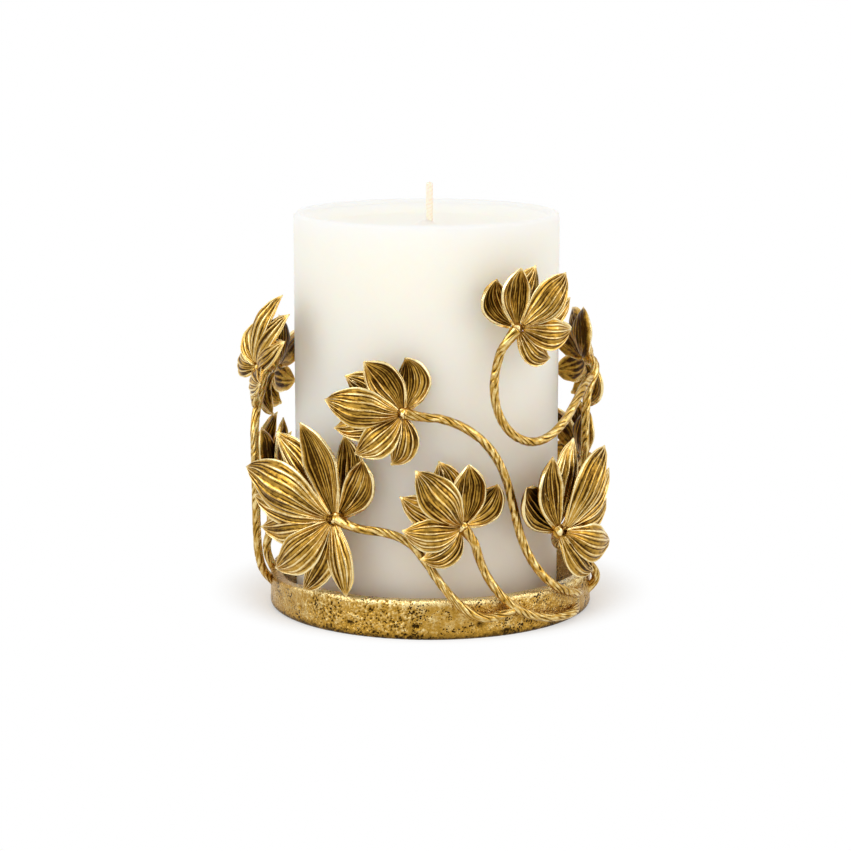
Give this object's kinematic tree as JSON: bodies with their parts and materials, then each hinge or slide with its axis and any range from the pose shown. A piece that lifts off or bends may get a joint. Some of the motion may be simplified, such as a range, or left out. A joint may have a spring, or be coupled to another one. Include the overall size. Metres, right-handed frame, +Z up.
{
  "type": "candle ring",
  "caption": "Brass candle ring: a low cast band with twisted stems and ribbed lotus blossoms that stand round a loose pillar candle with its wick.",
  "frame": {"origin": "centre of the band's foot, on the table", "axes": "+Z up along the candle's lift, -Y towards the viewer's front, +X to the viewer's right"},
  "size_m": [0.1441, 0.1338, 0.1636],
  "materials": {
    "cast_brass": "pitted antique cast",
    "twisted_brass": "antique, bright ridges",
    "gilt_brass": "antique gilt, dark grooves",
    "wax": "smooth translucent wax",
    "wick": "waxed cotton cord"
  },
  "bodies": {
    "ring": {"ring_band": "cast_brass", "stem_upper_middle": "twisted_brass", "stem_lower_middle": "twisted_brass", "stem_right_front": "twisted_brass", "stem_left_rear_high": "twisted_brass", "stem_left_rear_low": "twisted_brass", "stem_right_rear_high": "twisted_brass", "stem_right_rear_low": "twisted_brass", "stem_left_front": "twisted_brass", "stem_upper_right": "twisted_brass", "stem_left_side": "twisted_brass", "blossom_left_front": "gilt_brass", "blossom_upper_middle": "gilt_brass", "blossom_lower_middle": "gilt_brass", "blossom_upper_right": "gilt_brass", "blossom_right_front": "gilt_brass", "blossom_left_side": "gilt_brass", "blossom_left_rear_high": "gilt_brass", "blossom_left_rear_low": "gilt_brass", "blossom_right_rear_high": "gilt_brass", "blossom_right_rear_low": "gilt_brass"},
    "candle": {"candle_wax": "wax", "candle_wick": "wick"}
  },
  "joints": [
    {"name": "candle_lift", "type": "slide", "parent": "ring", "child": "candle", "axis": [0, 0, 1], "range_m": [0, 0.16]}
  ]
}
